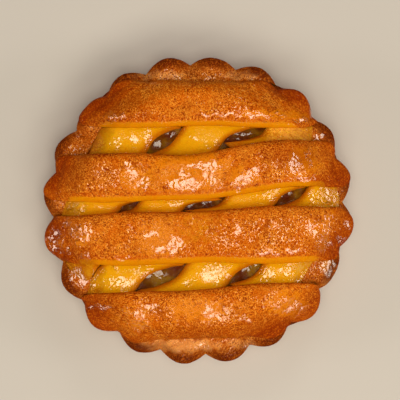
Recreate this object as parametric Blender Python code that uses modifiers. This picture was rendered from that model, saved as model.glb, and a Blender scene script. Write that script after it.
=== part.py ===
"""A small round apple pie with a lattice top, baked in a fluted tartlet tin.

A fluted crust shell holds the apple filling. Four lower strips of dough lie over the filling
on the slant, four top strips lie across them from rim to rim, and every end is pressed onto
the rim. The pie stands on z = 0 with its origin at the middle of its base.
Lengths are in metres, written as millimetres times MM, and angles are in radians.
"""
import math

import bmesh
import bpy

MM = 0.001

# Pieces that lie on each other keep this much air between them
GAP = 0.3 * MM

# Crust shell, as the tin forms it
FLUTES = 20
FLUTE_PHASE = math.radians(12.0)
TIP_RADIUS = 50.0 * MM
BASE_TIP_RADIUS = 41.0 * MM
FLUTE_DEPTH = 3.2 * MM
BASE_FLUTE_DEPTH = 2.0 * MM
RIM_HEIGHT = 18.0 * MM
RIM_ROUND = 1.5 * MM
LIP_ROUND = 0.6 * MM
VALLEY_DROP = 1.2 * MM
BASE_CHAMFER = 1.2 * MM
FLOOR_THICKNESS = 3.5 * MM
CAVITY_RADIUS = 39.5 * MM
FLOOR_RADIUS = 36.0 * MM
STEPS_PER_FLUTE = 8

# Flutes whose dough shrank back from the tin, by number round from the phase angle
SHORT_FLUTES = {4: 0.7 * MM, 7: 1.4 * MM, 18: 1.2 * MM}

# Apple filling, level with the rim at the wall and crowned in the middle
CROWN = 1.4 * MM
LUMP_DROP = 1.2 * MM
LUMP_PITCH = 11.0 * MM
FILLING_STEPS = 48
FILLING_RINGS = 8

# Lower strips: where the middle line crosses y = 0, lean from +X, and half width. They run out
# to a circle on the rim, but stay under the outermost top strips at the back and the front
LOWER_STRIPS = (
    ("lower_strip_1", -34.0 * MM, math.radians(65.0), 8.4 * MM),
    ("lower_strip_2", -12.5 * MM, math.radians(59.6), 6.8 * MM),
    ("lower_strip_3", 15.0 * MM, math.radians(59.6), 7.5 * MM),
    ("lower_strip_4", 38.5 * MM, math.radians(59.6), 6.8 * MM),
)
LOWER_REACH = 43.8 * MM
LOWER_COVERED_TO = 39.8 * MM
LOWER_THICKNESS = 3.2 * MM
LOWER_END_THICKNESS = 0.9 * MM
LOWER_THIN_FROM = 35.0 * MM
LOWER_STATIONS = 30
LOWER_COLUMNS = 6

# Lower strips spread towards each other at the corners of each window between two top strips,
# which leaves leaf-shaped gaps, and close up near the rim. Under a top strip they draw back
SPREAD_CURVE = 4.2
COVERED_CURVE = 3.0
CLOSING_FROM = 35.0 * MM
CLOSED_FROM = 41.0 * MM
SPREAD_ENDS = (40.5 * MM, 43.0 * MM)

# Top strips: back edge and front edge at the left and at the right, and the stretch of x
# over which the strip bends from the one to the other
TOP_STRIPS = (
    ("top_strip_1", (41.2 * MM, 41.2 * MM), (26.3 * MM, 26.3 * MM), (-30.0 * MM, 30.0 * MM)),
    ("top_strip_2", (17.6 * MM, 22.2 * MM), (2.7 * MM, 7.1 * MM), (-8.0 * MM, 32.0 * MM)),
    ("top_strip_3", (-1.6 * MM, 1.2 * MM), (-17.5 * MM, -16.6 * MM), (-44.0 * MM, 44.0 * MM)),
    ("top_strip_4", (-26.7 * MM, -23.3 * MM), (-42.2 * MM, -40.6 * MM), (-35.0 * MM, 35.0 * MM)),
)
TOP_THICKNESS = 4.2 * MM
TOP_END_THICKNESS = 1.6 * MM
TOP_THIN_FROM = 37.0 * MM
TOP_THIN_TO = 46.0 * MM
TOP_STATIONS = 32
TOP_COLUMNS = 10

# Ends of the top strips: cut round, with rounded corners, then drawn in to the fluted edge
ROUND_EDGE = 49.6 * MM
CORNER_INSET = 2.5 * MM
SHARP_CORNER_INSET = 7.0 * MM
CORNER_CURVE = 5.0
TRIM_FROM = 41.0 * MM
END_INSET = 0.4 * MM
END_ROUND = 1.0 * MM

# Shape of the top strips' underside: a sag over the gaps, and how much further out it follows
# the slope on which the lower strips get thinner
SAG = 0.6 * MM
SAG_FADES_FROM = 33.0 * MM
SLOPE_CLEARANCE = 0.8 * MM
STRIP_SHOULDER = (0.6 * MM, 3.6 * MM)
PRESS_RADIUS = 43.0 * MM
PRESS_DEPTH = 0.5 * MM
PRESS_WIDTH = 1.3 * MM
EDGE_WOBBLE = 0.35 * MM
WOBBLE_LENGTH = 7.0 * MM

# Cross-section of a strip: height of its side, and how square each shoulder is
SIDE_SHARE = 0.35
BACK_SHOULDER = 7.0
FRONT_SHOULDER = 3.2


def mix(low, high, share):
    """Value that lies the given share of the way from low to high."""
    return low + (high - low) * share


def smooth_step(start, end, value):
    """0 before start, 1 after end, and a smooth rise between them."""
    share = min(1.0, max(0.0, (value - start) / (end - start)))
    return share * share * (3.0 - 2.0 * share)


def flute_lobe(angle):
    """How far round a flute an angle lies: 1 at its tip, 0 in the valley beside it."""
    turn = (angle - FLUTE_PHASE) * FLUTES / (2.0 * math.pi)
    return abs(math.cos(math.pi * turn))


def outline_radius(angle, height):
    """Radius of the shell's fluted outer side at an angle and a height."""
    share = height / RIM_HEIGHT
    lobe = flute_lobe(angle)
    number = round((angle - FLUTE_PHASE) * FLUTES / (2.0 * math.pi)) % FLUTES
    shrunk = SHORT_FLUTES.get(number, 0.0) * share * lobe * lobe
    depth = mix(BASE_FLUTE_DEPTH, FLUTE_DEPTH, share)
    return mix(BASE_TIP_RADIUS, TIP_RADIUS, share) - depth * (1.0 - lobe) - shrunk


def bed_height(radius):
    """Height of the filling's crown, and of the flat rim outside it."""
    return RIM_HEIGHT + CROWN * max(0.0, 1.0 - (radius / CAVITY_RADIUS) ** 2)


def lower_thickness(radius):
    """Thickness of a lower strip, which is pressed thin where it reaches the rim."""
    return mix(LOWER_THICKNESS, LOWER_END_THICKNESS, smooth_step(LOWER_THIN_FROM, LOWER_REACH, radius))


def open_share(x, y):
    """1 over the open gaps between the lower strips, 0 over the strips themselves."""
    clear = min(
        abs((x - foot) * math.sin(lean) - y * math.cos(lean)) - half_width
        for _name, foot, lean, half_width in LOWER_STRIPS
    )
    return smooth_step(*STRIP_SHOULDER, clear)


def top_underside(x, y, side):
    """Height of a top strip's underside: over the lower strips, sagging between them, then on the rim."""
    radius = math.hypot(x, y)
    over_strips = bed_height(radius) + GAP + lower_thickness(radius - SLOPE_CLEARANCE)
    deck = mix(over_strips, RIM_HEIGHT, smooth_step(LOWER_REACH, TOP_THIN_TO, radius))
    sag = SAG * open_share(x, y) * (1.0 - side * side)
    sag *= 1.0 - smooth_step(SAG_FADES_FROM, TOP_THIN_FROM, radius)
    return deck + GAP - sag


def section_height(side, back_shoulder, front_shoulder):
    """Height share across a strip, from its front edge at -1 to its back edge at 1."""
    shoulder = back_shoulder if side > 0.0 else front_shoulder
    return SIDE_SHARE + (1.0 - SIDE_SHARE) * math.sqrt(1.0 - abs(side) ** shoulder)


def edge_line(ends, bend, x):
    """Distance along Y of a top strip's edge at x."""
    wobble = EDGE_WOBBLE * math.sin(x / WOBBLE_LENGTH + ends[0] / MM)
    return mix(ends[0], ends[1], smooth_step(bend[0], bend[1], x)) + wobble


def straight_edge(strip, side, y):
    """x of a lower strip's straight left (-1) or right (1) edge at y."""
    _name, foot, lean, half_width = strip
    return foot + y / math.tan(lean) + side * half_width / math.sin(lean)


def spread_shares(x, y):
    """How far a lower strip has spread at its right edge and at its left edge, from 0 to 1."""
    lines = []
    for _name, back, front, bend in TOP_STRIPS:
        lines.append((edge_line(front, bend, x), edge_line(back, bend, x)))
    for front, back in lines:
        if front < y < back:
            rise = (y - front) / (back - front)
            return (1.0 - rise) ** COVERED_CURVE, rise ** COVERED_CURVE
    for (window_top, _back), (_front, window_bottom) in zip(lines, lines[1:]):
        if window_bottom <= y <= window_top:
            rise = (y - window_bottom) / (window_top - window_bottom)
            return rise ** SPREAD_CURVE, (1.0 - rise) ** SPREAD_CURVE
    return 0.0, 0.0


def spread_of_gap(left_strip, right_strip, x, y):
    """How far the dough on the left and on the right of a gap has moved into it at a point."""
    start = straight_edge(left_strip, 1.0, y)
    end = straight_edge(right_strip, -1.0, y)
    room = max(0.0, end - start - GAP)
    from_left, from_right = spread_shares(x, y)
    closing = smooth_step(CLOSING_FROM, CLOSED_FROM, math.hypot(0.5 * (start + end), y))
    rest = 0.5 * (1.0 - from_left - from_right) * closing
    return room * (from_left + rest), room * (from_right + rest)


def corner_inset(number, side):
    """How far a top strip's end is rounded back, most at the corners that the round edge cuts sharp."""
    sharp = (number == 0 and side < 0.0) or (number == len(TOP_STRIPS) - 1 and side > 0.0)
    inset = SHARP_CORNER_INSET if sharp else CORNER_INSET
    return inset * abs(side) ** CORNER_CURVE


def strip_end(row, direction, edge):
    """x at which a row along a top strip meets a circle, on the left (-1) or the right (1)."""
    inner = 0.0
    outer = direction * 1.2 * ROUND_EDGE
    for _halving in range(24):
        middle = 0.5 * (inner + outer)
        if math.hypot(middle, row(middle)) < edge:
            inner = middle
        else:
            outer = middle
    return inner


def new_material(name, colour, roughness):
    """Principled material with one colour, given in linear values."""
    material = bpy.data.materials.new(name)
    material.use_nodes = True
    shader = material.node_tree.nodes["Principled BSDF"]
    shader.inputs["Base Color"].default_value = (*colour, 1.0)
    shader.inputs["Roughness"].default_value = roughness
    shader.inputs["Metallic"].default_value = 0.0
    return material


def add_solid(name, mesh_data, collection, material):
    """Link a bmesh as a named object, shaded smooth."""
    mesh = bpy.data.meshes.new(name)
    mesh_data.to_mesh(mesh)
    mesh_data.free()
    mesh.shade_smooth()
    mesh.set_sharp_from_angle(angle=math.radians(50.0))
    solid = bpy.data.objects.new(name, mesh)
    solid.data.materials.append(material)
    collection.objects.link(solid)
    return solid


def turn_profile(profile, steps):
    """Turn a profile of (radius, height) points about Z with a Screw modifier, as a bmesh."""
    mesh = bpy.data.meshes.new("profile")
    points = [(radius, 0.0, height) for radius, height in profile]
    edges = [(number, number + 1) for number in range(len(points) - 1)]
    mesh.from_pydata(points, edges, [])
    guide = bpy.data.objects.new("profile", mesh)
    bpy.context.scene.collection.objects.link(guide)
    screw = guide.modifiers.new("turn", "SCREW")
    screw.angle = 2.0 * math.pi
    screw.steps = steps
    screw.render_steps = steps
    screw.use_merge_vertices = True
    screw.merge_threshold = 0.01 * MM
    depsgraph = bpy.context.evaluated_depsgraph_get()
    turned = bpy.data.meshes.new_from_object(guide.evaluated_get(depsgraph))
    mesh_data = bmesh.new()
    mesh_data.from_mesh(turned)
    bpy.data.objects.remove(guide)
    bpy.data.meshes.remove(mesh)
    bpy.data.meshes.remove(turned)
    return mesh_data


def build_shell(collection):
    """Crust shell: a turned cup whose outer side and rim are then pressed into flutes."""
    profile = [
        (FLOOR_RADIUS, FLOOR_THICKNESS),
        (mix(FLOOR_RADIUS, CAVITY_RADIUS, 0.5), mix(FLOOR_THICKNESS, RIM_HEIGHT, 0.5)),
        (CAVITY_RADIUS, RIM_HEIGHT - LIP_ROUND),
        (CAVITY_RADIUS + LIP_ROUND, RIM_HEIGHT),
        (mix(CAVITY_RADIUS, TIP_RADIUS, 0.5), RIM_HEIGHT),
        (TIP_RADIUS - RIM_ROUND, RIM_HEIGHT),
        (TIP_RADIUS - 0.3 * RIM_ROUND, RIM_HEIGHT - 0.4 * RIM_ROUND),
        (mix(BASE_TIP_RADIUS, TIP_RADIUS, 0.9), 0.9 * RIM_HEIGHT),
        (mix(BASE_TIP_RADIUS, TIP_RADIUS, 0.5), 0.5 * RIM_HEIGHT),
        (BASE_TIP_RADIUS + 0.5 * BASE_CHAMFER, BASE_CHAMFER),
        (BASE_TIP_RADIUS - BASE_CHAMFER, 0.0),
    ]
    mesh_data = turn_profile(profile, FLUTES * STEPS_PER_FLUTE)
    bmesh.ops.holes_fill(mesh_data, edges=mesh_data.edges[:])
    for vertex in mesh_data.verts:
        radius = math.hypot(vertex.co.x, vertex.co.y)
        angle = math.atan2(vertex.co.y, vertex.co.x) + FLUTE_PHASE
        height = vertex.co.z
        share = height / RIM_HEIGHT
        tip = mix(BASE_TIP_RADIUS, TIP_RADIUS, share)
        cavity = mix(FLOOR_RADIUS, CAVITY_RADIUS, share)
        fluted = smooth_step(cavity, tip - RIM_ROUND, radius)
        radius -= (tip - outline_radius(angle, height)) * fluted
        if height > RIM_HEIGHT - RIM_ROUND:
            height -= VALLEY_DROP * (1.0 - flute_lobe(angle)) * fluted
        vertex.co = (radius * math.cos(angle), radius * math.sin(angle), height)
    material = new_material("baked_shortcrust", (0.42, 0.14, 0.03), 0.6)
    return add_solid("crust_shell", mesh_data, collection, material)


def build_filling(collection):
    """Apple filling: fills the shell up to its rim, with a lumpy crown."""
    wall = CAVITY_RADIUS - 1.5 * GAP
    profile = [(wall * ring / FILLING_RINGS, RIM_HEIGHT) for ring in range(FILLING_RINGS + 1)]
    profile.append((FLOOR_RADIUS - 1.5 * GAP, FLOOR_THICKNESS + GAP))
    profile.append((0.0, FLOOR_THICKNESS + GAP))
    mesh_data = turn_profile(profile, FILLING_STEPS)
    for vertex in mesh_data.verts:
        if vertex.co.z > 0.5 * RIM_HEIGHT:
            radius = math.hypot(vertex.co.x, vertex.co.y)
            wave = math.sin(2.0 * math.pi * vertex.co.x / LUMP_PITCH)
            wave *= math.cos(2.0 * math.pi * vertex.co.y / LUMP_PITCH)
            level = bed_height(radius) - LUMP_DROP * (0.5 + 0.5 * wave)
            vertex.co.z = mix(level, RIM_HEIGHT - 2.0 * GAP, smooth_step(0.8 * wall, wall, radius))
    material = new_material("cooked_apple", (0.19, 0.06, 0.01), 0.3)
    return add_solid("apple_filling", mesh_data, collection, material)


def strip_blank(stations, columns):
    """Box from -1 to 1 on each axis, cut into stations along X and columns along Y."""
    mesh_data = bmesh.new()
    bmesh.ops.create_cube(mesh_data, size=2.0)
    for axis, pieces in ((0, stations), (1, columns)):
        edges = []
        for edge in mesh_data.edges:
            span = edge.verts[1].co - edge.verts[0].co
            if abs(span[axis]) > 0.5 * span.length:
                edges.append(edge)
        bmesh.ops.subdivide_edges(mesh_data, edges=edges, cuts=pieces - 1, use_grid_fill=True)
    return mesh_data


def crowd_ends(value):
    """Move evenly spaced values from -1 to 1 closer together near both ends."""
    return mix(value, math.sin(0.5 * math.pi * value), 0.6)


def build_lower_strip(collection, number):
    """Lower strip: a band of dough over the filling, spread at its edges and pressed thin at both ends."""
    name, foot, lean, half_width = LOWER_STRIPS[number]
    along = (math.cos(lean), math.sin(lean))
    across = (-math.sin(lean), math.cos(lean))
    middle = -foot * math.sin(lean)
    mesh_data = strip_blank(LOWER_STATIONS, LOWER_COLUMNS)
    for vertex in mesh_data.verts:
        side = crowd_ends(vertex.co.y)
        offset = middle + side * half_width
        reach = math.sqrt(LOWER_REACH ** 2 - offset ** 2)
        front_end = max(-reach, (-LOWER_COVERED_TO - across[1] * offset) / along[1])
        back_end = min(reach, (LOWER_COVERED_TO - across[1] * offset) / along[1])
        run = mix(front_end, back_end, 0.5 + 0.5 * crowd_ends(vertex.co.x))
        x = across[0] * offset + along[0] * run
        y = across[1] * offset + along[1] * run
        shift = 0.0
        if number < len(LOWER_STRIPS) - 1 and side < 0.0:
            shift = spread_of_gap(LOWER_STRIPS[number], LOWER_STRIPS[number + 1], x, y)[0]
        if number > 0 and side > 0.0:
            shift = -spread_of_gap(LOWER_STRIPS[number - 1], LOWER_STRIPS[number], x, y)[1]
        shift *= 1.0 - smooth_step(*SPREAD_ENDS, math.hypot(x, y))
        x += shift * abs(side) ** 1.5
        radius = math.hypot(x, y)
        height = bed_height(radius) + GAP
        if vertex.co.z > 0.0:
            height += lower_thickness(radius) * section_height(side, FRONT_SHOULDER, FRONT_SHOULDER)
        vertex.co = (x, y, height)
    material = new_material("glazed_pale_strip", (0.76, 0.31, 0.01), 0.25)
    return add_solid(name, mesh_data, collection, material)


def build_top_strip(collection, number):
    """Top strip: a band of dough from rim to rim, draped over the lower strips."""
    name, back, front, bend = TOP_STRIPS[number]
    mesh_data = strip_blank(TOP_STATIONS, TOP_COLUMNS)
    ends = {}
    for vertex in mesh_data.verts:
        side = crowd_ends(vertex.co.y)

        def row(x, side=side):
            return mix(edge_line(front, bend, x), edge_line(back, bend, x), 0.5 + 0.5 * side)

        key = round(side, 4)
        if key not in ends:
            edge = ROUND_EDGE - corner_inset(number, side)
            ends[key] = (strip_end(row, -1.0, edge), strip_end(row, 1.0, edge))
        left, right = ends[key]
        run = crowd_ends(vertex.co.x)
        x = mix(left, right, 0.5 + 0.5 * run)
        y = row(x)
        radius = math.hypot(x, y)
        fluted_edge = outline_radius(math.atan2(y, x), RIM_HEIGHT) - END_INSET
        trim = mix(1.0, fluted_edge / ROUND_EDGE, smooth_step(TRIM_FROM, ROUND_EDGE, radius))
        x *= trim
        y *= trim
        radius *= trim
        height = top_underside(x, y, side)
        if vertex.co.z > 0.0:
            thickness = mix(TOP_THICKNESS, TOP_END_THICKNESS, smooth_step(TOP_THIN_FROM, TOP_THIN_TO, radius))
            pressed = PRESS_DEPTH * math.exp(-(((radius - PRESS_RADIUS) / PRESS_WIDTH) ** 2))
            height += thickness * section_height(side, BACK_SHOULDER, FRONT_SHOULDER) - pressed
            if abs(vertex.co.x) > 0.999:
                height = mix(height, top_underside(x, y, side), END_ROUND / thickness)
        vertex.co = (x, y, height)
    material = new_material("glazed_brown_strip", (0.56, 0.17, 0.01), 0.35)
    return add_solid(name, mesh_data, collection, material)


for old_object in list(bpy.data.objects):
    bpy.data.objects.remove(old_object)

pie = bpy.data.collections.new("apple_pie")
bpy.context.scene.collection.children.link(pie)

build_shell(pie)
build_filling(pie)
for lower_number in range(len(LOWER_STRIPS)):
    build_lower_strip(pie, lower_number)
for top_number in range(len(TOP_STRIPS)):
    build_top_strip(pie, top_number)
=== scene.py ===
"""A small round apple pie with a glazed lattice top, seen from straight above."""
import math

import bpy
import numpy as np
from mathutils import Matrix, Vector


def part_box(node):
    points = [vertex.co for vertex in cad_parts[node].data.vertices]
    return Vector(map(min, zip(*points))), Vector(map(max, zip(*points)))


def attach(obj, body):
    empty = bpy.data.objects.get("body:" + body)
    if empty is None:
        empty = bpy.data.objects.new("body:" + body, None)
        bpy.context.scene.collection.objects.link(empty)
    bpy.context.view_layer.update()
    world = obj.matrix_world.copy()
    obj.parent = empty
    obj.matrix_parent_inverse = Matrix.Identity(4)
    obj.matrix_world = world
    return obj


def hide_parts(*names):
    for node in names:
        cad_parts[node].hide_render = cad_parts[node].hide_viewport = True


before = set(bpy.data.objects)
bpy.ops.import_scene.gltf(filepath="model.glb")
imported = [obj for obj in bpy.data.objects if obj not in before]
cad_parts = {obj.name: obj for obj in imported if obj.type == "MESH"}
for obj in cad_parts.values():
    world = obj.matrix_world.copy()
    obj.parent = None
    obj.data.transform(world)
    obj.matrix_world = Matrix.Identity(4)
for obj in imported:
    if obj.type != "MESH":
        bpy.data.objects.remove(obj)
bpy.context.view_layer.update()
scene = bpy.context.scene
MM = 0.001


# ---- Crust shell --------------------------------------------------------------------------
# A cup of shortcrust pastry, pressed into a fluted tartlet tin and baked in it. The tin gives
# the outer side its flutes. The rim above them is open to the oven, so it browns most.

RIM_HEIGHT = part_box("crust_shell")[1][2]
TIP_RADIUS = 50.0 * MM
BASE_TIP_RADIUS = 41.0 * MM
FLUTES = 20
FLUTE_PHASE = math.radians(12.0)
FLUTE_DEPTH = 3.2 * MM
BASE_FLUTE_DEPTH = 2.0 * MM
SHORT_FLUTES = {4: 0.7 * MM, 7: 1.4 * MM, 18: 1.2 * MM}
VALLEY_DROP = 1.2 * MM
LOBE_SWELL = 0.5 * MM
SWELL_RADIUS = 46.5 * MM
SWELL_WIDTH = 2.5 * MM
CREASE_DEPTH = 0.35 * MM
CAVITY_RADIUS = 39.5 * MM
FLOOR_RADIUS = 36.0 * MM
FLOOR_THICKNESS = 3.5 * MM
CELL_BEND = 1.2 * MM
FLAT_ENOUGH = 0.7
DULL_FILM = 0.03
# Places here and below are x, y, half length and half width, in mm.
RIM_GLINTS = (
    (1.5, -43.6, 2.4, 0.9), (16.5, -44.5, 2.7, 1.4), (38.5, 24.0, 1.2, 1.5), (41.5, -18.0, 2.2, 3.6),
    (-37.0, -22.0, 1.5, 2.5), (-40.5, -20.0, 1.5, 2.5),
)
PALE_RIM = (
    (-6.0, -43.5, 14.0, 2.2), (44.0, 17.0, 3.0, 6.0), (42.0, -20.0, 2.5, 5.0), (14.0, -43.0, 5.0, 1.5),
    (-12.0, 43.0, 9.0, 1.5), (14.0, 43.0, 6.0, 1.5),
)


def mix(low, high, share):
    """Value that lies the given share of the way from low to high."""
    return low + (high - low) * share


def smooth_step(start, end, value):
    """0 before start, 1 after end, and a smooth rise between them."""
    share = np.clip((value - start) / (end - start), 0.0, 1.0)
    return share * share * (3.0 - 2.0 * share)


def flute_lobe(angle):
    """How far round a flute an angle lies: 1 at its tip, 0 in the valley beside it."""
    turn = (angle - FLUTE_PHASE) * FLUTES / (2.0 * math.pi)
    return np.abs(np.cos(math.pi * turn))


def outline_radius(angle, height):
    """Radius of the shell's fluted outer side at an angle and a height."""
    share = height / RIM_HEIGHT
    lobe = flute_lobe(angle)
    number = np.round((angle - FLUTE_PHASE) * FLUTES / (2.0 * math.pi)).astype(int) % FLUTES
    short = np.zeros(FLUTES)
    for flute, length in SHORT_FLUTES.items():
        short[flute] = length
    depth = mix(BASE_FLUTE_DEPTH, FLUTE_DEPTH, share)
    tip = mix(BASE_TIP_RADIUS, TIP_RADIUS, share)
    return tip - depth * (1.0 - lobe) - short[number] * share * lobe * lobe


def spots(x, y, places):
    """Soft mask of places, each given in mm as x, y, half length and half width: 1 in the middle.

    The ovals are bent a little, so that none looks drawn with a compass."""
    mask = np.zeros(np.broadcast(x, y).shape)
    bent_x = x / MM + 0.6 * np.sin((1.1 * y + 0.4 * x) / MM)
    bent_y = y / MM + 0.5 * np.sin((1.3 * x - 0.5 * y) / MM)
    for middle_x, middle_y, half_length, half_width in places:
        away = ((bent_x - middle_x) / half_length) ** 2 + ((bent_y - middle_y) / half_width) ** 2
        mask = np.maximum(mask, np.clip(1.0 - 0.5 * away, 0.0, 1.0))
    return mask


def colour(code):
    """Linear colour from an sRGB hex value."""
    parts = [int(code[start:start + 2], 16) / 255.0 for start in (1, 3, 5)]
    linear = [part / 12.92 if part <= 0.04045 else ((part + 0.055) / 1.055) ** 2.4 for part in parts]
    return (*linear, 1.0)


def add(tree, kind, *values, **settings):
    """Add a node to a tree, with its settings, and with values or links for its inputs.

    The inputs come in their own order, or as a dictionary. A node stands for its first output."""
    node = tree.nodes.new(kind)
    for name, value in settings.items():
        setattr(node, name, value)
    sockets = values[0] if values and isinstance(values[0], dict) else dict(enumerate(values))
    for key, value in sockets.items():
        if isinstance(value, bpy.types.Node):
            value = value.outputs[0]
        if isinstance(value, bpy.types.NodeSocket):
            tree.links.new(value, node.inputs[key])
        else:
            node.inputs[key].default_value = value
    return node


def skin(name, rings, fields, tuck=0):
    """Closed mesh through rings of points, shape (rings, points, 3), with one value a point in each field.

    grain says how much baked grain shows, loose how freely the relief moves the surface, pool where
    glaze lies and glint where it set in scales. flank, brown and amber are shares of those colours.
    With tuck, each end is drawn in to a point inside the piece, that number of rings from it."""
    fields = {field: value + np.zeros(rings.shape[:2]) for field, value in fields.items()}
    if tuck:
        first = mix(rings[:1], rings[tuck].mean(axis=0), 0.98)
        last = mix(rings[-1:], rings[-1 - tuck].mean(axis=0), 0.98)
        rings = np.concatenate([first, rings, last])
        fields = {field: np.pad(value, ((1, 1), (0, 0)), "edge") for field, value in fields.items()}
        fields["loose"][[0, -1]] = 0.0
    count, around = rings.shape[:2]
    row = np.arange(count - 1)[:, None] * around
    here = np.arange(around)[None, :]
    after = (here + 1) % around
    quads = np.stack([row + here, row + after, row + around + after, row + around + here], axis=-1)
    faces = quads.reshape(-1, 4).tolist()
    faces.append(list(range(around))[::-1])
    faces.append(list(range((count - 1) * around, count * around)))
    mesh = bpy.data.meshes.new(name)
    mesh.from_pydata(rings.reshape(-1, 3).tolist(), [], faces)
    for field in ("grain", "loose", "pool", "glint", "flank", "brown", "amber"):
        layer = mesh.attributes.new(field, "FLOAT", "POINT")
        values = fields.get(field, np.zeros((count, around)))
        layer.data.foreach_set("value", values.astype(np.float32).ravel())
    mesh.shade_smooth()
    piece = bpy.data.objects.new(name, mesh)
    scene.collection.objects.link(piece)
    return piece


def relief_tree():
    """Geometry Nodes that give dough its surface: rolled waves, baked grain, ripples of glaze.

    Where glaze set in flat scales that catch the light, the surface breaks into small facets.
    The grain and the ragged outlines of the glaze are stored, so that the colour follows the shape."""
    tree = bpy.data.node_groups.new("dough_relief", "GeometryNodeTree")
    face = tree.interface
    face.new_socket("Geometry", in_out="INPUT", socket_type="NodeSocketGeometry")
    for title, start in (
        ("Wave Length", 6.0 * MM), ("Wave Height", 0.2 * MM),
        ("Grain Size", 0.5 * MM), ("Grain Height", 0.1 * MM),
        ("Ripple Length", 1.8 * MM), ("Ripple Height", 0.03 * MM),
        ("Facet Size", 1.3 * MM), ("Facet Slope", 0.14), ("Ragged", 0.7), ("Seed", 0.0),
    ):
        socket = face.new_socket(title, in_out="INPUT", socket_type="NodeSocketFloat")
        socket.default_value = start
    face.new_socket("Material", in_out="INPUT", socket_type="NodeSocketMaterial")
    face.new_socket("Geometry", in_out="OUTPUT", socket_type="NodeSocketGeometry")
    given = add(tree, "NodeGroupInput").outputs
    place = add(tree, "GeometryNodeInputPosition")
    normal = add(tree, "GeometryNodeInputNormal")
    field = {}
    for title in ("grain", "loose", "pool", "glint"):
        field[title] = add(tree, "GeometryNodeInputNamedAttribute", title, data_type="FLOAT")

    # Unevenness from -1 to 1 of a real size each. The crumb's true grain is about 0.2 mm, too fine
    # to show at 0.32 mm a pixel, so Grain Size draws it at 0.5 mm.
    worm_size = add(tree, "ShaderNodeMath", given["Grain Size"], 2.4, operation="MULTIPLY")
    uneven = {}
    for title, size, detail, roughness, shift in (
        ("glaze edge", 3.2 * MM, 3.0, 0.55, 11.0), ("glint edge", 2.0 * MM, 5.0, 0.8, 17.0),
        ("cracks", 2.2 * MM, 2.0, 0.55, 19.0), ("wrinkles", 0.8 * MM, 1.0, 0.55, 13.0),
        ("worms", worm_size, 1.0, 0.55, 23.0), ("grains", given["Grain Size"], 1.0, 0.55, 3.0),
        ("waves", given["Wave Length"], 1.0, 0.55, 5.0), ("ripples", given["Ripple Length"], 2.0, 0.55, 7.0),
    ):
        noise = add(tree, "ShaderNodeTexNoise", {
            "Vector": place, "Detail": detail, "Roughness": roughness,
            "W": add(tree, "ShaderNodeMath", given["Seed"], shift, operation="ADD"),
            "Scale": add(tree, "ShaderNodeMath", 1.0, size, operation="DIVIDE"),
        }, noise_dimensions="4D")
        centred = add(tree, "ShaderNodeMath", noise, 0.5, operation="SUBTRACT")
        uneven[title] = add(tree, "ShaderNodeMath", centred, 2.0, operation="MULTIPLY")

    # Where egg glaze lies, and where it set in cracked, ragged scales.
    edge = add(tree, "ShaderNodeMath", uneven["glaze edge"], 0.9, operation="MULTIPLY")
    glaze = add(tree, "ShaderNodeMath", field["pool"], edge, operation="ADD")
    glaze = add(tree, "ShaderNodeMapRange", glaze, 0.35, 0.65, interpolation_type="SMOOTHSTEP")
    edge = add(tree, "ShaderNodeMath", uneven["glint edge"], given["Ragged"], operation="MULTIPLY")
    glint = add(tree, "ShaderNodeMath", field["glint"], edge, operation="ADD")
    glint = add(tree, "ShaderNodeMapRange", glint, 0.5, 0.58, interpolation_type="SMOOTHSTEP")
    crack = add(tree, "ShaderNodeMath", uneven["cracks"], operation="ABSOLUTE")
    crack = add(tree, "ShaderNodeMapRange", crack, 0.0, 0.04, interpolation_type="SMOOTHSTEP")
    glint = add(tree, "ShaderNodeMath", glint, crack, operation="MULTIPLY")
    smooth = add(tree, "ShaderNodeMath", glaze, glint, operation="MAXIMUM")

    # Baked grain: round grains and short worms of dough, mostly drowned where glaze lies.
    worms = add(tree, "ShaderNodeMath", uneven["worms"], operation="ABSOLUTE")
    worms = add(tree, "ShaderNodeMath", 0.18, worms, operation="SUBTRACT")
    grain = add(tree, "ShaderNodeMath", uneven["grains"], 0.7, operation="MULTIPLY")
    grain = add(tree, "ShaderNodeMath", grain, worms, operation="ADD")
    share = add(tree, "ShaderNodeMapRange", {0: smooth, 3: 1.0, 4: 0.2})
    share = add(tree, "ShaderNodeMath", field["grain"], share, operation="MULTIPLY")
    fine = add(tree, "ShaderNodeMath", grain, given["Grain Height"], operation="MULTIPLY")
    fine = add(tree, "ShaderNodeMath", fine, share, operation="MULTIPLY")

    # Waves of the rolled dough, ripples, and the fine wrinkles of a drying film of glaze.
    wave = add(tree, "ShaderNodeMath", uneven["waves"], given["Wave Height"], operation="MULTIPLY")
    calm = add(tree, "ShaderNodeMapRange", {0: field["glint"], 3: 1.0, 4: 0.3})
    wave = add(tree, "ShaderNodeMath", wave, calm, operation="MULTIPLY")
    ripple = add(tree, "ShaderNodeMath", uneven["ripples"], given["Ripple Height"], operation="MULTIPLY")
    wrinkle = add(tree, "ShaderNodeMath", smooth, 0.014 * MM, operation="MULTIPLY")
    wrinkle = add(tree, "ShaderNodeMath", uneven["wrinkles"], wrinkle, operation="MULTIPLY")
    ripple = add(tree, "ShaderNodeMath", ripple, wrinkle, operation="ADD")

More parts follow.
